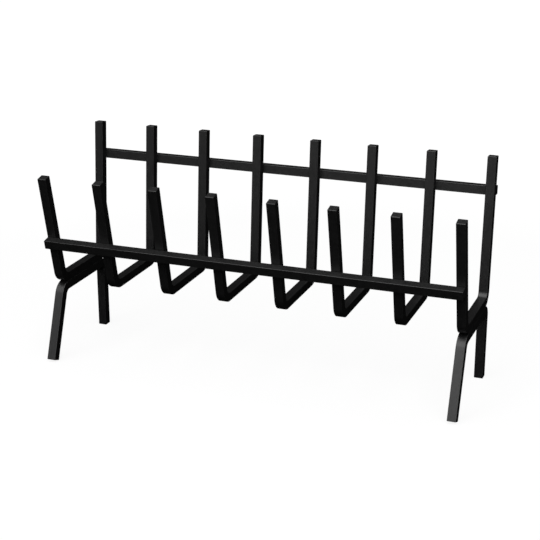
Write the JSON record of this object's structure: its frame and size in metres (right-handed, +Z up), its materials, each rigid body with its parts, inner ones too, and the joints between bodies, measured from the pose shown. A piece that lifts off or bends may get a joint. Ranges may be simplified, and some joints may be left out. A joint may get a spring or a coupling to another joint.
{
  "type": "log grate",
  "caption": "Free-standing upright fireplace log grate of U-bent square steel tines, tied by a front and a rear crossbar and carried on bent leg hoops.",
  "frame": {"origin": "on the floor, under the middle of the grate's bounding box", "axes": "+X along the crossbars, to the right seen from the room; +Y away from the room, towards the chimney back; +Z up"},
  "size_m": [0.753, 0.2476, 0.3963],
  "materials": {
    "black_paint": "satin black heat-resistant paint over hot-rolled bar",
    "painted_weld": "satin black heat-resistant paint over rippled weld metal"
  },
  "bodies": {
    "root": {"tine_1": "black_paint", "tine_2": "black_paint", "tine_3": "black_paint", "tine_4": "black_paint", "tine_5": "black_paint", "tine_6": "black_paint", "tine_7": "black_paint", "tine_8": "black_paint", "front_crossbar": "black_paint", "rear_crossbar": "black_paint", "left_leg": "black_paint", "right_leg": "black_paint", "weld_front_1": "painted_weld", "weld_front_2": "painted_weld", "weld_front_3": "painted_weld", "weld_front_4": "painted_weld", "weld_front_5": "painted_weld", "weld_front_6": "painted_weld", "weld_front_7": "painted_weld", "weld_front_8": "painted_weld", "weld_rear_top_1": "painted_weld", "weld_rear_top_2": "painted_weld", "weld_rear_top_3": "painted_weld", "weld_rear_top_4": "painted_weld", "weld_rear_top_5": "painted_weld", "weld_rear_top_6": "painted_weld", "weld_rear_top_7": "painted_weld", "weld_rear_top_8": "painted_weld", "weld_rear_bottom_1": "painted_weld", "weld_rear_bottom_2": "painted_weld", "weld_rear_bottom_3": "painted_weld", "weld_rear_bottom_4": "painted_weld", "weld_rear_bottom_5": "painted_weld", "weld_rear_bottom_6": "painted_weld", "weld_rear_bottom_7": "painted_weld", "weld_rear_bottom_8": "painted_weld", "weld_left_leg": "painted_weld", "weld_right_leg": "painted_weld"}
  },
  "joints": []
}
